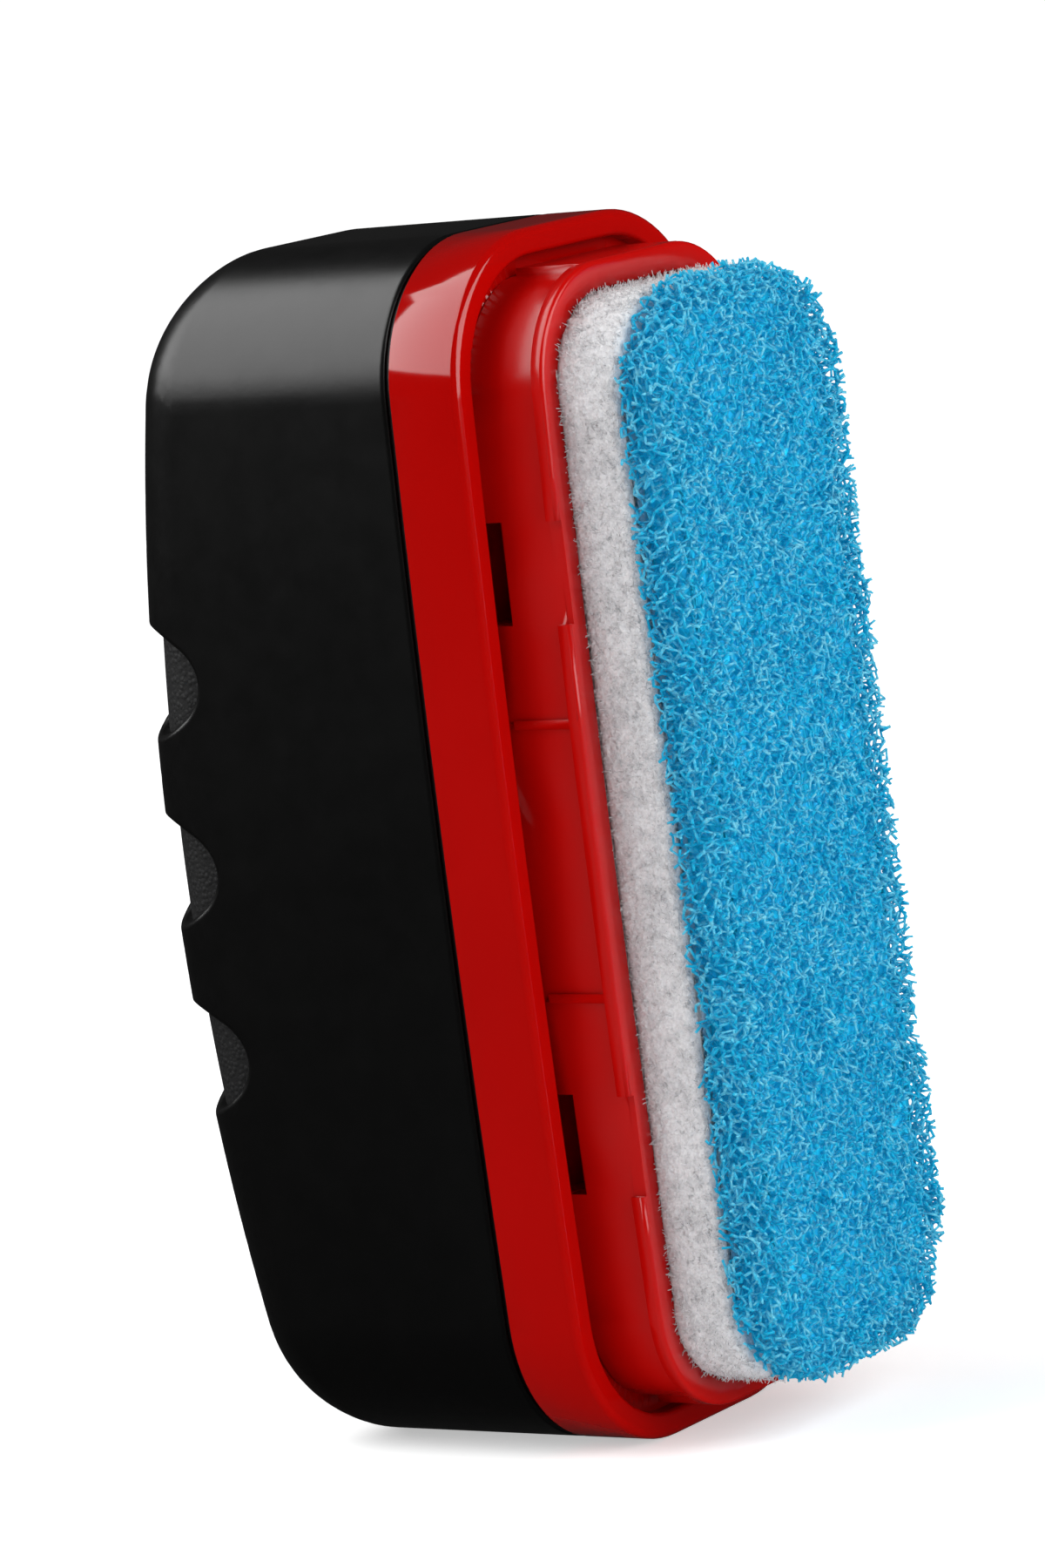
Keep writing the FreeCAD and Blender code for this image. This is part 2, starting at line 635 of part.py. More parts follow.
def scouring_layer():
    """Blue open-cell foam that meets the glass, with its front edge rounded."""
    layer = slab(SCOUR_INSET, FLEECE_DEPTH, SCOUR_DEPTH)
    return layer.makeFillet(FOAM_EDGE_R, outline_edges(layer, SCOUR_DEPTH, SCOUR_INSET))


def nodes():
    pieces = {
        "grip_shell": grip_shell(),
        "seam_gasket": seam_gasket(),
        "base_frame": base_frame(),
        "yoke_plate": yoke_plate(),
        "magnet_clamp": magnet_clamp(),
        "clamp_screws": clamp_screws(),
        "base_screws": base_screws(),
        "screw_seals": screw_seals(),
        "pad_holder": pad_holder(),
        "loop_sheet": loop_sheet(),
        "fleece_layer": fleece_layer(),
        "scouring_layer": scouring_layer(),
    }
    pieces.update(finger_pads())
    pieces.update(magnets())
    pieces.update(hook_tapes())
    return pieces


def main():
    os.makedirs("parts", exist_ok=True)
    for name, shape in nodes().items():
        assert shape.isValid(), name
        shape.exportStep(f"parts/{name}.step")
        print(f"{name}: {len(shape.Solids)} solid(s), {shape.Volume / 1000.0:.3f} cm3")


main()
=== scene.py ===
"""Looks of the magnetic glass cleaner: moulded casing, red base and holder, two-layer pad."""
import math

import bmesh
import bpy
import numpy as np
from mathutils import Matrix, Vector


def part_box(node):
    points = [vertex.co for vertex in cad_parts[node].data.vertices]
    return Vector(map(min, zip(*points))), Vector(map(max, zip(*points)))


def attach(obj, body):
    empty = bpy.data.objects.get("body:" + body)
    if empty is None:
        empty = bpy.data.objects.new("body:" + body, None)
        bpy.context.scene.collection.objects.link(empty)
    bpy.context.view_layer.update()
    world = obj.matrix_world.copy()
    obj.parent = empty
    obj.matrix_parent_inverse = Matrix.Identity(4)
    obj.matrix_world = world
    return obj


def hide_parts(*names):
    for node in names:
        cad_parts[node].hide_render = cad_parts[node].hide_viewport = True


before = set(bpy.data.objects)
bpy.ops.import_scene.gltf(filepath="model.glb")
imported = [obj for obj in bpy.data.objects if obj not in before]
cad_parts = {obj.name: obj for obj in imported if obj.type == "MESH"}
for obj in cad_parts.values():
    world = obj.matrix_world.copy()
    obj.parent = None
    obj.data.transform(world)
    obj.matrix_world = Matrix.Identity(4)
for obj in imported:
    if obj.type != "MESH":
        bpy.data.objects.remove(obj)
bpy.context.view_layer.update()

MM = 0.001
SIDES = ("left", "right")
ROWS = ("lower", "middle", "upper")
SMOOTH_ANGLE = 28.0

# white foam
FLEECE_CORNER = 8.3 * MM
FLEECE_EDGE = 1.1 * MM
FLEECE_PITCH = 0.25 * MM
FLEECE_FUZZ = 0.10 * MM
FIBRE_COUNT = 28000
FIBRE_LENGTH = 0.95 * MM
FIBRE_THICK = 0.04 * MM

# blue foam: the slab of struts, and the closed core behind them
SLAB_CORNER = 11.5 * MM
SLAB_EDGE = 2.4 * MM
SLAB_BEHIND = 3.0 * MM
CORE_SIDE_INSET = 2.6 * MM
CORE_FRONT_INSET = 1.5 * MM
CORE_BACK_INSET = 0.1 * MM
CORE_CORNER = 9.0 * MM
CORE_EDGE = 1.2 * MM
CORE_PITCH = 0.5 * MM
CORE_FUZZ = 0.15 * MM
CELL = 1.7 * MM
STRAND = 0.15 * MM

# how the packing of cells is disturbed; all but the angles are shares of a cell
LATTICE_TURN = (21.0, 34.0, 12.0)
WARP = 0.55
WARP_SIZE = 2.6
SHAKE = 0.105
RAGGED = 0.30
RAGGED_SIZE = 1.4
RAGGED_TRIM = 0.12
CORE_OVERLAP = 0.15


# ---------------------------------------------------------------- small helpers

def linear(hex_colour):
    """sRGB hex to linear RGBA, by the sRGB transfer curve."""
    values = [int(hex_colour[i:i + 2], 16) / 255.0 for i in (1, 3, 5)]
    curve = [v / 12.92 if v <= 0.04045 else ((v + 0.055) / 1.055) ** 2.4 for v in values]
    return (*curve, 1.0)


def add(tree, kind, inputs=None, **settings):
    """Adds a node; an input given as a socket is linked, any other is set as its value."""
    node = tree.nodes.new(kind)
    for name, value in settings.items():
        setattr(node, name, value)
    for name, value in (inputs or {}).items():
        if isinstance(value, bpy.types.NodeSocket):
            tree.links.new(value, node.inputs[name])
        else:
            node.inputs[name].default_value = value
    return node


def new_material(name):
    """An empty material with its tree, its coordinates and its output node."""
    material = bpy.data.materials.new(name)
    material.use_nodes = True
    tree = material.node_tree
    tree.nodes.clear()
    place = add(tree, "ShaderNodeTexCoord").outputs["Object"]
    output = add(tree, "ShaderNodeOutputMaterial")
    return material, tree, place, output


def per_mm(size_mm):
    """Texture scale for a pattern of that size on coordinates in metres."""
    return 1000.0 / size_mm


def noise(tree, place, size_mm, detail=2.0, roughness=0.5):
    """Noise texture with features of that size."""
    settings = {"Vector": place, "Scale": per_mm(size_mm), "Detail": detail, "Roughness": roughness}
    return add(tree, "ShaderNodeTexNoise", settings).outputs["Fac"]


def span(tree, value, low, high, out_low, out_high):
    """Carries a value from one range to another, clamped."""
    inputs = {"Value": value, "From Min": low, "From Max": high, "To Min": out_low, "To Max": out_high}
    return add(tree, "ShaderNodeMapRange", inputs).outputs["Result"]


def blend_colour(tree, amount, first, second):
    """The first colour where the amount is 0, the second where it is 1."""
    mix = add(tree, "ShaderNodeMix", {0: amount, 6: first, 7: second}, data_type="RGBA")
    return mix.outputs[2]


def bump(tree, height, depth_mm, normal=None):
    """Surface direction tilted by a height of 0 to 1, that deep in millimetres."""
    inputs = {"Height": height, "Distance": depth_mm * MM, "Strength": 1.0}
    if normal is not None:
        inputs["Normal"] = normal
    return add(tree, "ShaderNodeBump", inputs).outputs["Normal"]


# ---------------------------------------------------------------- materials

def moulded_plastic(name, colour, dark, roughness, grain_mm, grain_depth):
    """Injection-moulded ABS: even colour, faint flow mottling, and a grain from the mould wall.

    The gloss rolls off softly where the mould was etched, and stays sharp where it was polished.
    """
    material, tree, place, output = new_material(name)
    flow = noise(tree, place, 22.0, 3.0)
    grain = noise(tree, place, grain_mm, 3.0, 0.6)
    wear = noise(tree, place, 3.5, 5.0, 0.7)
    tint = blend_colour(tree, span(tree, flow, 0.3, 0.7, 0.0, 1.0), linear(dark), linear(colour))
    rough = span(tree, wear, 0.35, 0.75, roughness * 0.95, roughness * 1.12)
    shader = add(tree, "ShaderNodeBsdfPrincipled", {
        "Base Color": tint,
        "Roughness": rough,
        "IOR": 1.53,
        "Normal": bump(tree, grain, grain_depth),
    })
    tree.links.new(shader.outputs[0], output.inputs["Surface"])
    return material


def stippled_rubber(name, colour, roughness, dot_mm, depth_mm):
    """Soft-touch TPE: almost no gloss, with fine raised dots from the mould and painted shade between them.
    """
    material, tree, place, output = new_material(name)
    dots = add(tree, "ShaderNodeTexVoronoi", {"Vector": place, "Scale": per_mm(dot_mm)})
    fine = noise(tree, place, 0.25, 2.0)
    height = span(tree, dots.outputs["Distance"], 0.0, 0.6, 1.0, 0.0)
    normal = bump(tree, fine, depth_mm * 0.4, bump(tree, height, depth_mm))
    # painted shade: the ground between the raised dots is painted darker than the dot tops
    shade = span(tree, height, 0.0, 1.0, 0.6, 1.0)
    tint = blend_colour(tree, shade, linear("#050505"), linear(colour))
    shader = add(tree, "ShaderNodeBsdfPrincipled", {
        "Base Color": tint, "Roughness": roughness, "IOR": 1.5, "Normal": normal,
    })
    tree.links.new(shader.outputs[0], output.inputs["Surface"])
    return material


def metal(name, colour, roughness, grain_mm):
    """Plated or turned steel: fine brushed variation in its gloss."""
    material, tree, place, output = new_material(name)
    streak = noise(tree, place, grain_mm, 4.0)
    rough = span(tree, streak, 0.3, 0.7, roughness * 0.7, roughness * 1.4)
    shader = add(tree, "ShaderNodeBsdfPrincipled", {
        "Base Color": linear(colour), "Metallic": 1.0, "Roughness": rough,
        "Normal": bump(tree, streak, 0.004),
    })
    tree.links.new(shader.outputs[0], output.inputs["Surface"])
    return material


def sintered_ferrite(name):
    """Sintered ferrite: dull charcoal with a fine sandy face and paler pits."""
    material, tree, place, output = new_material(name)
    sand = noise(tree, place, 0.4, 4.0, 0.7)
    tint = blend_colour(tree, span(tree, sand, 0.4, 0.7, 0.0, 1.0), linear("#2a2b2d"), linear("#4a4b4e"))
    shader = add(tree, "ShaderNodeBsdfPrincipled", {
        "Base Color": tint, "Roughness": 0.6, "Normal": bump(tree, sand, 0.02),
    })
    tree.links.new(shader.outputs[0], output.inputs["Surface"])
    return material


def fuzzy_tape(name, colour, loop_mm):
    """Hook-and-loop cloth: a close field of tiny loops, their tops painted in full colour as a painted
    highlight and the gaps between them painted grey as painted shade.
    """
    material, tree, place, output = new_material(name)
    loops = add(tree, "ShaderNodeTexVoronoi", {"Vector": place, "Scale": per_mm(loop_mm)})
    height = span(tree, loops.outputs["Distance"], 0.0, 0.7, 1.0, 0.0)
    # painted highlight and shade: loop tops in full colour, the gaps between loops painted grey
    tint = blend_colour(tree, height, linear("#9a9a9c"), linear(colour))
    shader = add(tree, "ShaderNodeBsdfPrincipled", {
        "Base Color": tint, "Roughness": 0.85, "Sheen Weight": 0.4, "Sheen Roughness": 0.5,
        "Normal": bump(tree, height, 0.15),
    })
    tree.links.new(shader.outputs[0], output.inputs["Surface"])
    return material


def white_foam(name):
    """Fine polyester foam: milky, lit from within, with pores too small to see one by one."""
    material, tree, place, output = new_material(name)
    pores = add(tree, "ShaderNodeTexVoronoi", {"Vector": place, "Scale": per_mm(0.42)})
    fluff = noise(tree, place, 0.3, 4.0, 0.7)
    height = span(tree, pores.outputs["Distance"], 0.05, 0.6, 0.0, 1.0)
    shade = span(tree, fluff, 0.3, 0.7, 0.0, 1.0)
    tint = blend_colour(tree, shade, linear("#d6d5d8"), linear("#f4f4f6"))
    normal = bump(tree, fluff, 0.10, bump(tree, height, 0.10))
    shader = add(tree, "ShaderNodeBsdfPrincipled", {
        "Base Color": tint, "Roughness": 0.9, "Subsurface Weight": 0.35,
        "Subsurface Radius": (1.0, 0.95, 0.9), "Subsurface Scale": 1.2 * MM,
        "Sheen Weight": 0.25, "Sheen Roughness": 0.6, "Normal": normal,
    })
    tree.links.new(shader.outputs[0], output.inputs["Surface"])
    return material


def blue_strut(name):
    """Reticulated polyurethane: clear-edged strands, so light passes a little way through them.

    The faint emission stands for light scattered between strands. Patches of strands are painted near white
    as painted highlights.
    """
    material, tree, place, output = new_material(name)
    painted_glint_patch = noise(tree, place, 1.5, 4.0, 0.7)
    # painted highlight: where the noise is high the strands are painted near white, for glints
    tint = blend_colour(tree, span(tree, painted_glint_patch, 0.46, 0.64, 0.0, 1.0), linear("#00c4ea"), linear("#a0f6ff"))
    shader = add(tree, "ShaderNodeBsdfPrincipled", {
        "Base Color": tint, "Roughness": 0.22, "IOR": 1.5,
        "Emission Color": linear("#00b6e2"), "Emission Strength": 0.12,
        "Sheen Weight": 0.15, "Sheen Roughness": 0.5,
    })
    glow = add(tree, "ShaderNodeBsdfTranslucent", {"Color": linear("#50e8fc")})
    mixed = add(tree, "ShaderNodeMixShader", {0: 0.5, 1: shader.outputs[0], 2: glow.outputs[0]})
    tree.links.new(mixed.outputs[0], output.inputs["Surface"])
    return material


def blue_core(name):
    """The foam's shaded depth, where strands overlap until nothing shows through.

    The faint emission stands for light scattered inside the foam.
    """
    material, tree, place, output = new_material(name)
    cells = add(tree, "ShaderNodeTexVoronoi", {"Vector": place, "Scale": per_mm(1.3)},
                feature="DISTANCE_TO_EDGE")
    walls = span(tree, cells.outputs["Distance"], 0.02, 0.22, 1.0, 0.0)
    # painted shade: the middles of the cells are painted darker than their walls, as pores in shade
    tint = blend_colour(tree, walls, linear("#00acdc"), linear("#08cef4"))
    shader = add(tree, "ShaderNodeBsdfPrincipled", {
        "Base Color": tint, "Roughness": 0.7,
        "Emission Color": linear("#00a4d4"), "Emission Strength": 0.20,
        "Normal": bump(tree, walls, 0.5),
    })
    tree.links.new(shader.outputs[0], output.inputs["Surface"])
    return material


def pale_floor(name):
    """Seamless studio paper: bright and even, with a very slight mottle.

    It glows for the camera only, more with distance, so that it ends in plain white.
    """
    material, tree, place, output = new_material(name)
    tooth = noise(tree, place, 1.5, 2.0)
    tint = blend_colour(tree, tooth, linear("#fbfbfb"), linear("#ffffff"))
    radius = add(tree, "ShaderNodeVectorMath", {0: place}, operation="LENGTH").outputs["Value"]
    seen = add(tree, "ShaderNodeLightPath").outputs["Is Camera Ray"]
    far_glow = add(tree, "ShaderNodeMath", {0: span(tree, radius, 0.10, 1.2, 0.46, 0.95), 1: seen},
                   operation="MULTIPLY").outputs[0]
    shader = add(tree, "ShaderNodeBsdfPrincipled", {
        "Base Color": tint, "Roughness": 0.9, "Specular IOR Level": 0.1,
        "Emission Color": linear("#ffffff"), "Emission Strength": far_glow,
    })
    tree.links.new(shader.outputs[0], output.inputs["Surface"])
    return material


# ---------------------------------------------------------------- mesh helpers

def mesh_object(name, points, faces, material):
    """A new smooth-shaded object from points and faces of one size."""
    mesh = bpy.data.meshes.new(name)
    mesh.from_pydata(points.tolist(), [], faces.tolist())
    mesh.update()
    mesh.polygons.foreach_set("use_smooth", np.ones(len(mesh.polygons), bool))
    piece = bpy.data.objects.new(name, mesh)
    bpy.context.scene.collection.objects.link(piece)
    mesh.materials.append(material)
    return piece


def merged_copy(node, name, material, body):
    """A copy of a CAD node with its loose triangles joined and its rounded faces smooth."""
    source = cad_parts[node]
    mesh = source.data.copy()
    mesh.name = name
    work = bmesh.new()
    work.from_mesh(mesh)
    bmesh.ops.remove_doubles(work, verts=work.verts, dist=1e-6)
    work.to_mesh(mesh)
    work.free()
    mesh.polygons.foreach_set("use_smooth", np.ones(len(mesh.polygons), bool))
    mesh.set_sharp_from_angle(angle=math.radians(SMOOTH_ANGLE))
    mesh.materials.clear()
    mesh.materials.append(material)
    piece = bpy.data.objects.new(name, mesh)
    bpy.context.scene.collection.objects.link(piece)
    shading = piece.modifiers.new("large faces lead the shading", "WEIGHTED_NORMAL")
    shading.keep_sharp = True
    shading.weight = 90
    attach(piece, body)
    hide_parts(node)
    return piece


def dress(node, material):
    """Gives a CAD node its finish."""
    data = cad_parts[node].data
    data.materials.clear()
    data.materials.append(material)


# ---------------------------------------------------------------- foam

def value_noise(points, size, seed):
    """Smooth random field from -1 to 1: hashed corners of a grid, blended between."""
    grid = points / size
    cell = np.floor(grid).astype(np.int64)
    part = grid - cell
    part = part * part * (3.0 - 2.0 * part)
    total = np.zeros(len(points))
    for corner in range(8):
        step = np.array([corner & 1, (corner >> 1) & 1, (corner >> 2) & 1])
        key = cell + step
        code = (key[:, 0] * 73856093) ^ (key[:, 1] * 19349663) ^ (key[:, 2] * 83492791) ^ (seed * 2654435)
        code = (code ^ (code >> 13)) * 1274126177
        value = ((code ^ (code >> 16)) & 0xFFFF) / 32767.5 - 1.0
        weight = np.prod(np.where(step == 1, part, 1.0 - part), axis=1)
        total += weight * value
    return total


def slab_distance(points, low, high, corner, edge):
    """Distance to a slab with round corners in XZ and rounded front and back edges.

    Inside is negative. The outline's distance and the depth's are joined by a quarter circle.
    """
    centre = (low + high) / 2.0
    half = (high - low) / 2.0
    q = np.abs(points - centre)
    flat = np.stack([q[:, 0] - half[0] + corner, q[:, 2] - half[2] + corner], axis=1)
    outline = np.linalg.norm(np.maximum(flat, 0.0), axis=1)
    outline += np.minimum(flat.max(axis=1), 0.0) - corner
    both = np.stack([outline + edge, q[:, 1] - half[1] + edge], axis=1)
    return np.linalg.norm(np.maximum(both, 0.0), axis=1) + np.minimum(both.max(axis=1), 0.0) - edge


def kelvin_edges(shape):
    """Struts of a packing of truncated octahedra, as pairs of points on a grid of quarter cells."""
    base = np.array([[0, 1, 2], [0, 2, 1], [1, 0, 2], [1, 2, 0], [2, 0, 1], [2, 1, 0]])
    signs = np.array([[x, y, z] for x in (-1, 1) for y in (-1, 1) for z in (-1, 1)])
    corners = np.unique((base[:, None, :] * signs[None, :, :]).reshape(-1, 3), axis=0)
    gap = ((corners[:, None, :] - corners[None, :, :]) ** 2).sum(axis=2)
    first, second = np.nonzero(np.triu(gap == 2))
    axes = [np.arange(-n, n + 1) for n in shape]
    grid = np.stack(np.meshgrid(*axes, indexing="ij"), axis=-1).reshape(-1, 3) * 4
    centres = np.concatenate([grid, grid + 2])
    starts = (centres[:, None, :] + corners[first][None, :, :]).reshape(-1, 3)
    ends = (centres[:, None, :] + corners[second][None, :, :]).reshape(-1, 3)
    return starts, ends


def turned(points, angles):
    """Points turned about X, Y and Z in turn."""
    matrix = np.eye(3)
    for axis, angle in zip("XYZ", angles):
        matrix = np.array(Matrix.Rotation(math.radians(angle), 3, axis)) @ matrix
    return points @ matrix.T


def open_foam(name, slab, core, back, cell, strut, material, seed):
    """Reticulated foam as real struts.

    Struts of a truncated-octahedron packing are turned off the axes, warped by smooth noise
    and shaken at random, then kept where they lie in the slab but outside its core, and in
    front of the back plane. Each is a three-sided prism, as a real strut is. The slab and the
    core are (low, high, corner, edge).
    """
    low, high = slab[:2]
    centre = (low + high) / 2.0
    reach = np.linalg.norm(high - low) / 2.0 + cell
    # the lattice is made only as large as the turned box needs
    box_corners = np.array([[x, y, z] for x in (-1, 1) for y in (-1, 1) for z in (-1, 1)])
    box_corners = box_corners * ((high - low) / 2.0 + cell)
    inverse = turned(np.eye(3), LATTICE_TURN)
    needed = np.abs(box_corners @ inverse).max(axis=0)
    counts = np.minimum(np.ceil(needed / cell).astype(int) + 1, int(reach / cell) + 2)
    starts, ends = kelvin_edges(counts)
    # a quarter cell per grid step, and the middle is half the sum
    rough_mid = turned((starts + ends) * cell / 8.0, LATTICE_TURN) + centre
    keep = (slab_distance(rough_mid, *slab) < cell) & (slab_distance(rough_mid, *core) > -cell)
    starts, ends = starts[keep], ends[keep]
    # struts that share a corner get the same point number, by one code per grid corner
    both = np.concatenate([starts, ends])
    offset = both.min(axis=0)
    size = both.max(axis=0) - offset + 1
    codes = ((both - offset) @ np.array([size[1] * size[2], size[2], 1])).astype(np.int64)
    unique, index = np.unique(codes, return_inverse=True)
    cells = np.stack([unique // (size[1] * size[2]), unique // size[2] % size[1], unique % size[2]], axis=1)
    points = turned((cells + offset) * cell / 4.0, LATTICE_TURN) + centre
    rng = np.random.default_rng(seed)
    for axis in range(3):
        points[:, axis] += WARP * cell * value_noise(points, WARP_SIZE * cell, seed + axis)
    points += rng.normal(0.0, SHAKE * cell, points.shape)
    count = len(starts)
    pairs = np.stack([index[:count], index[count:]], axis=1)
    pairs = np.unique(np.sort(pairs, axis=1), axis=0)
    middle = points[pairs].mean(axis=1)
    ragged = RAGGED * cell * value_noise(middle, RAGGED_SIZE * cell, seed + 9) - RAGGED_TRIM * cell
    inside = (slab_distance(middle, *slab) < ragged) & (points[pairs][:, :, 1].max(axis=1) < back)
    pairs = pairs[inside & (slab_distance(middle, *core) > -CORE_OVERLAP * cell)]
    return strut_mesh(name, points, pairs, strut, material, rng)


def strut_mesh(name, points, pairs, strut, material, rng):
    """Three-sided closed prisms along the pairs, each turned at random and of a random thickness."""
    start, end = points[pairs[:, 0]], points[pairs[:, 1]]
    along = end - start
    length = np.linalg.norm(along, axis=1, keepdims=True)
    along = along / np.maximum(length, 1e-9)
    helper = np.where(np.abs(along[:, 2:3]) < 0.8, [[0.0, 0.0, 1.0]], [[1.0, 0.0, 0.0]])
    side = np.cross(along, helper)
    side /= np.linalg.norm(side, axis=1, keepdims=True)
    other = np.cross(along, side)
    spin = rng.uniform(0.0, 2.0 * math.pi, len(pairs))
    thick = strut * rng.uniform(0.8, 1.25, len(pairs))
    rings = []
    for base, push in ((start, -0.25), (end, 0.25)):
        for step in range(3):
            angle = spin + step * 2.0 * math.pi / 3.0
            arm = np.cos(angle)[:, None] * side + np.sin(angle)[:, None] * other
            rings.append(base + along * (push * strut) + arm * thick[:, None])
    vertices = np.stack(rings, axis=1).reshape(-1, 3)
    first = np.arange(len(pairs))[:, None] * 6
    faces = []
    for step in range(3):
        after = (step + 1) % 3
        faces.append(first + np.array([[step, after, after + 3]]))
        faces.append(first + np.array([[step, after + 3, step + 3]]))
    faces.append(first + np.array([[2, 1, 0]]))
    faces.append(first + np.array([[3, 4, 5]]))
    return mesh_object(name, vertices, np.concatenate(faces), material)


def outline_points(half_x, half_z, corner, count):
    """Evenly spaced points round a rectangle with round corners, and their outward directions."""
    straight_x, straight_z = 2.0 * (half_x - corner), 2.0 * (half_z - corner)
    arc = corner * math.pi / 2.0
    spans = np.array([straight_z, arc, straight_x, arc, straight_z, arc, straight_x, arc])
    edges = np.concatenate([[0.0], np.cumsum(spans)])
    along = np.linspace(0.0, edges[-1], count, endpoint=False)
    leg = np.searchsorted(edges, along, side="right") - 1
    part = along - edges[leg]
    cx, cz = half_x - corner, half_z - corner
    side = leg // 2
    turn = np.where(leg % 2 == 1, part / corner, 0.0) + side * math.pi / 2.0
    out = np.stack([np.cos(turn), np.sin(turn)], axis=1)
    corner_x = np.choose(side, [cx, -cx, -cx, cx])
    corner_z = np.choose(side, [cz, cz, -cz, -cz])
    start_x = np.choose(side, [cx, cx, -cx, -cx])
    start_z = np.choose(side, [-cz, cz, cz, -cz])
    tangent = np.stack([-np.sin(side * math.pi / 2.0), np.cos(side * math.pi / 2.0)], axis=1)
    run = np.stack([start_x, start_z], axis=1) + tangent * part[:, None] + out * corner
    bend = np.stack([corner_x, corner_z], axis=1) + out * corner
    return np.where((leg % 2 == 1)[:, None], bend, run), out


def foam_skin(name, low, high, corner, edge, pitch, fuzz, material, seed):
    """A closed foam slab: its outline carried along a profile with rounded edges.

    The profile runs from the middle of the back, round the back edge, along the side, round
    the front edge and to the middle of the front. Fine noise pushes it in and out.
    """
    centre, half = (low + high) / 2.0, (high - low) / 2.0
    count = int(4.0 * (half[0] + half[2]) / pitch)
    loop, out = outline_points(half[0], half[2], corner, count)
    turns = np.linspace(0.0, math.pi / 2.0, 6)
    side_steps = np.linspace(-half[1] + edge, half[1] - edge, max(int((2 * half[1]) / pitch), 3))
    inset = np.concatenate([edge * (1 - np.sin(turns)), np.zeros(len(side_steps) - 2),
                            edge * (1 - np.cos(turns))])
    depth = np.concatenate([half[1] - edge + edge * np.cos(turns), side_steps[::-1][1:-1],
                            -half[1] + edge - edge * np.sin(turns)])
    rows = []
    caps = np.linspace(0.02, 0.96, 14)
    for share in caps:
        rows.append((loop * share, depth[0]))
    for move, y in zip(inset, depth):
        rows.append((loop - out * move, y))
    for share in caps[::-1]:
        rows.append((loop * share, depth[-1]))
    points = np.concatenate([
        np.stack([flat[:, 0], np.full(count, y), flat[:, 1]], axis=1) for flat, y in rows
    ]) + centre
    rows_count = len(rows)
    index = np.arange(rows_count * count).reshape(rows_count, count)
    ahead = np.roll(index, -1, axis=1)
    quads = np.stack([index[:-1], ahead[:-1], ahead[1:], index[1:]], axis=-1).reshape(-1, 4)
    normal = np.zeros((rows_count, count, 3))
    start = len(caps)
    for row, (move, y) in enumerate(zip(inset, depth)):
        lean = np.clip((abs(y) - half[1] + edge) / edge, 0.0, 1.0)
        normal[start + row, :, 0] = out[:, 0] * math.sqrt(1 - lean * lean)
        normal[start + row, :, 2] = out[:, 1] * math.sqrt(1 - lean * lean)
        normal[start + row, :, 1] = math.copysign(lean, y)
    normal = normal.reshape(-1, 3)
    push = fuzz * (value_noise(points, 0.5 * MM, seed) + 0.6 * value_noise(points, 0.26 * MM, seed + 1))
    push += 0.8 * fuzz * value_noise(points, 4.0 * MM, seed + 2)
    points = points + normal * push[:, None]
    piece = mesh_object(name, points, quads, material)
    work = bmesh.new()
    work.from_mesh(piece.data)
    bmesh.ops.holes_fill(work, edges=[rim for rim in work.edges if rim.is_boundary])
    bmesh.ops.recalc_face_normals(work, faces=work.faces)
    work.to_mesh(piece.data)
    work.free()
    return piece


def fluff(name, low, high, corner, count, length, thick, material, seed):
    """Loose fibres all round the side of a foam slab, each a short prism at a random slant."""
    rng = np.random.default_rng(seed)
    centre, half = (low + high) / 2.0, (high - low) / 2.0
    loop, out = outline_points(half[0], half[2], corner, count)
    order = rng.permutation(count)
    loop, out = loop[order], out[order]
    depth = rng.uniform(-half[1], half[1], count) * 0.97
    start = np.stack([loop[:, 0], depth, loop[:, 1]], axis=1) + centre
    outward = np.stack([out[:, 0], np.zeros(count), out[:, 1]], axis=1)
    start = start - outward * rng.uniform(0.0, 0.5, (count, 1)) * length
    slant = rng.normal(0.0, 0.6, (count, 3)) + outward * rng.uniform(-0.1, 0.7, (count, 1))
    slant /= np.linalg.norm(slant, axis=1, keepdims=True)
    end = start + slant * length * rng.uniform(0.5, 1.0, (count, 1))
    end[:, 1] = np.clip(end[:, 1], low[1] + thick, high[1] - thick)
    pairs = np.stack([np.arange(count), np.arange(count) + count], axis=1)
    return strut_mesh(name, np.concatenate([start, end]), pairs, thick, material, rng)


def corners_of(node):
    """Low and high corner of a CAD node's box."""
    low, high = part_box(node)
    return np.array(low), np.array(high)


def make_pad():
    """The pad's two foams and the loop cloth behind them."""
    low, high = corners_of("fleece_layer")
    fine_foam = white_foam("fine polyester foam")
    fleece = foam_skin("white_fleece", low, high, FLEECE_CORNER, FLEECE_EDGE, FLEECE_PITCH,
                       FLEECE_FUZZ, fine_foam, 5)
    fibres = fluff("white_fleece_fibres", low, high, FLEECE_CORNER, FIBRE_COUNT, FIBRE_LENGTH,
                   FIBRE_THICK, fine_foam, 7)
    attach(fibres, "pad")
    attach(fleece, "pad")
    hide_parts("fleece_layer")
    low, high = corners_of("scouring_layer")
    # the slab runs on behind the pad, so only its front edge is rounded
    slab = (low, high + np.array([0.0, SLAB_BEHIND, 0.0]), SLAB_CORNER, SLAB_EDGE)
    core_low = low + np.array([CORE_SIDE_INSET, CORE_FRONT_INSET, CORE_SIDE_INSET])
    core_high = high - np.array([CORE_SIDE_INSET, CORE_BACK_INSET, CORE_SIDE_INSET])
    core = (core_low, core_high, CORE_CORNER, CORE_EDGE)
    strand = blue_strut("reticulated polyurethane foam")
    struts = open_foam("blue_scourer", slab, core, high[1], CELL, STRAND, strand, 11)
    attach(struts, "pad")
    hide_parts("scouring_layer")
    depth = blue_core("shaded foam depth")
    body = foam_skin("blue_scourer_depth", *core, CORE_PITCH, CORE_FUZZ, depth, 17)
    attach(body, "pad")
    dress("loop_sheet", fuzzy_tape("loop cloth", "#e8e8ea", 0.5))


# ---------------------------------------------------------------- hard parts

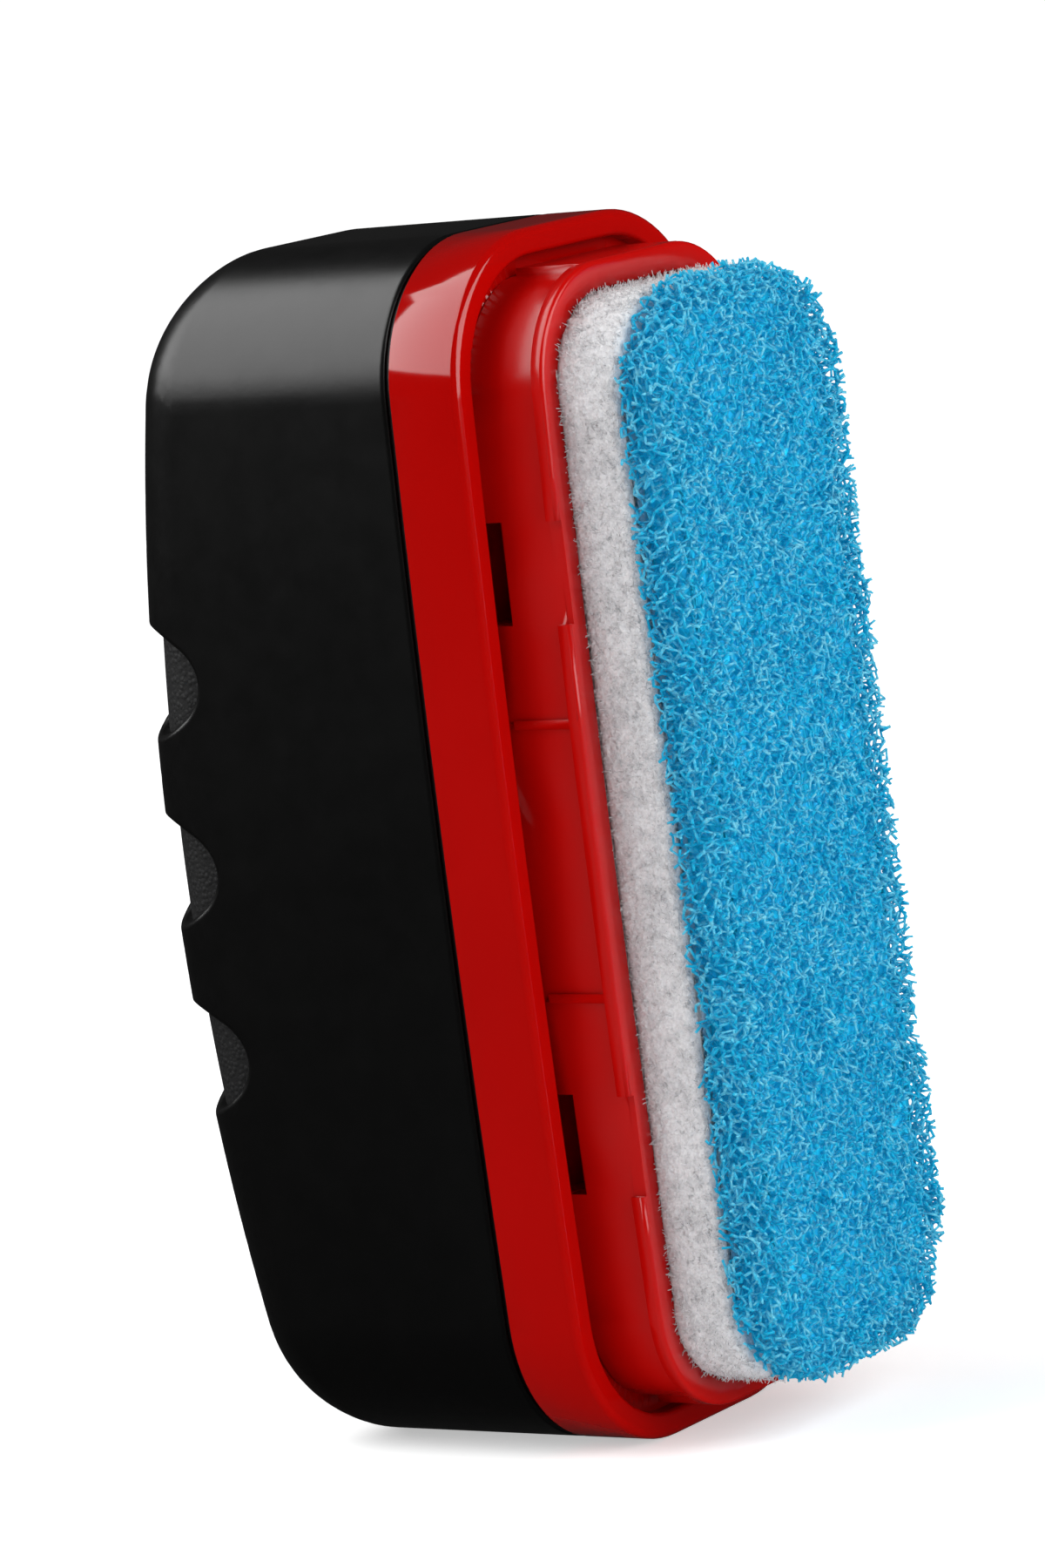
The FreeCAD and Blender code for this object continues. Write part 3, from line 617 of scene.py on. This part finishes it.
def make_hard_parts():
    """Finishes of the mouldings, finger pads, magnets, steel and screws."""
    case = moulded_plastic("satin black ABS", "#070707", "#050505", 0.30, 0.55, 0.006)
    merged_copy("grip_shell", "grip_casing", case, "cleaner")
    gloss_red = moulded_plastic("polished red ABS", "#ac0402", "#a60301", 0.08, 6.0, 0.002)
    merged_copy("base_frame", "red_base", gloss_red, "cleaner")
    satin_red = moulded_plastic("satin red ABS", "#c00502", "#b60401", 0.22, 0.5, 0.004)
    merged_copy("pad_holder", "red_holder", satin_red, "holder")
    seal = stippled_rubber("nitrile seal rubber", "#0b0b0b", 0.45, 0.5, 0.01)
    merged_copy("seam_gasket", "seam_seal", seal, "cleaner")
    grip = stippled_rubber("soft-touch TPE", "#1b1b1c", 0.6, 0.55, 0.06)
    for side in SIDES:
        for row in ROWS:
            node = f"finger_pad_{side}_{row}"
            merged_copy(node, f"soft_{node}", grip, "cleaner")
    ferrite = sintered_ferrite("sintered ferrite")
    for row in ROWS:
        dress(f"magnet_{row}", ferrite)
        if row != "middle":
            dress(f"hook_tape_{row}", fuzzy_tape("hook tape", "#f0f0f0", 0.8))
    dress("yoke_plate", metal("zinc-plated steel", "#b9bcc0", 0.35, 0.8))
    screws = metal("stainless steel", "#c9cacb", 0.22, 0.3)
    dress("base_screws", screws)
    dress("clamp_screws", screws)
    dress("screw_seals", seal)
    dress("magnet_clamp", moulded_plastic("glass-filled nylon", "#1c1c1d", "#151515", 0.5, 0.4, 0.02))


# ---------------------------------------------------------------- studio

def softbox(name, direction, distance, width, height, power, target):
    """A rectangular light that faces the target from a direction."""
    light = bpy.data.lights.new(name, "AREA")
    light.shape = "RECTANGLE"
    light.size, light.size_y = width, height
    light.energy = power
    lamp = bpy.data.objects.new(name, light)
    place = Vector(direction).normalized()
    lamp.location = target + place * distance
    lamp.rotation_euler = (-place).to_track_quat("-Z", "Y").to_euler()
    bpy.context.scene.collection.objects.link(lamp)


def studio():
    """Two soft lights, a seamless paper floor and white air round the object."""
    scene = bpy.context.scene
    scene.view_settings.view_transform = "Standard"
    middle = Vector((0.0, 0.0, 0.06))
    softbox("back_left_softbox", (-0.40, 0.60, 0.66), 0.75, 0.80, 0.78, 6.3, middle)
    softbox("front_softbox", (-0.05, -0.90, 0.40), 0.9, 1.0, 0.8, 9.0, middle)
    floor_mesh = bpy.data.meshes.new("studio_floor")
    reach = 12.0
    floor_mesh.from_pydata([(-reach, -reach, 0), (reach, -reach, 0), (reach, reach, 0), (-reach, reach, 0)],
                           [], [(0, 1, 2, 3)])
    floor = bpy.data.objects.new("studio_floor", floor_mesh)
    floor_mesh.materials.append(pale_floor("seamless paper"))
    floor.visible_glossy = False
    scene.collection.objects.link(floor)
    world = bpy.data.worlds.new("studio_air")
    world.use_nodes = True
    tree = world.node_tree
    tree.nodes.clear()
    path = add(tree, "ShaderNodeLightPath").outputs
    flagged = span(tree, path["Is Glossy Ray"], 0.0, 1.0, 0.12, 0.02)
    strength = add(tree, "ShaderNodeMix", {0: path["Is Camera Ray"], 2: flagged, 3: 1.0}).outputs[0]
    glow = add(tree, "ShaderNodeBackground", {"Color": (1.0, 1.0, 1.0, 1.0), "Strength": strength})
    add(tree, "ShaderNodeOutputWorld", {"Surface": glow.outputs[0]})
    scene.world = world


def camera():
    """A long lens from the pad's left, a little above, rolled so that the top leans left."""
    azimuth, elevation, roll = (math.radians(value) for value in (-54.0, 8.49, 7.28))
    distance = 0.6909
    target = Vector((-1.05, 0.49, 64.51)) * MM
    back = Vector((
        math.sin(azimuth) * math.cos(elevation), -math.cos(azimuth) * math.cos(elevation),
        math.sin(elevation)
    ))
    data = bpy.data.cameras.new("studio_camera")
    data.lens = 160.0
    data.sensor_width = 36.0
    data.clip_start = 0.01
    eye = bpy.data.objects.new("studio_camera", data)
    level = (-back).to_track_quat("-Z", "Y").to_matrix()
    eye.matrix_world = Matrix.Translation(target + back * distance) @ (
        level @ Matrix.Rotation(-roll, 3, "Z")
    ).to_4x4()
    bpy.context.scene.collection.objects.link(eye)
    bpy.context.scene.camera = eye


camera()
studio()
make_hard_parts()
make_pad()
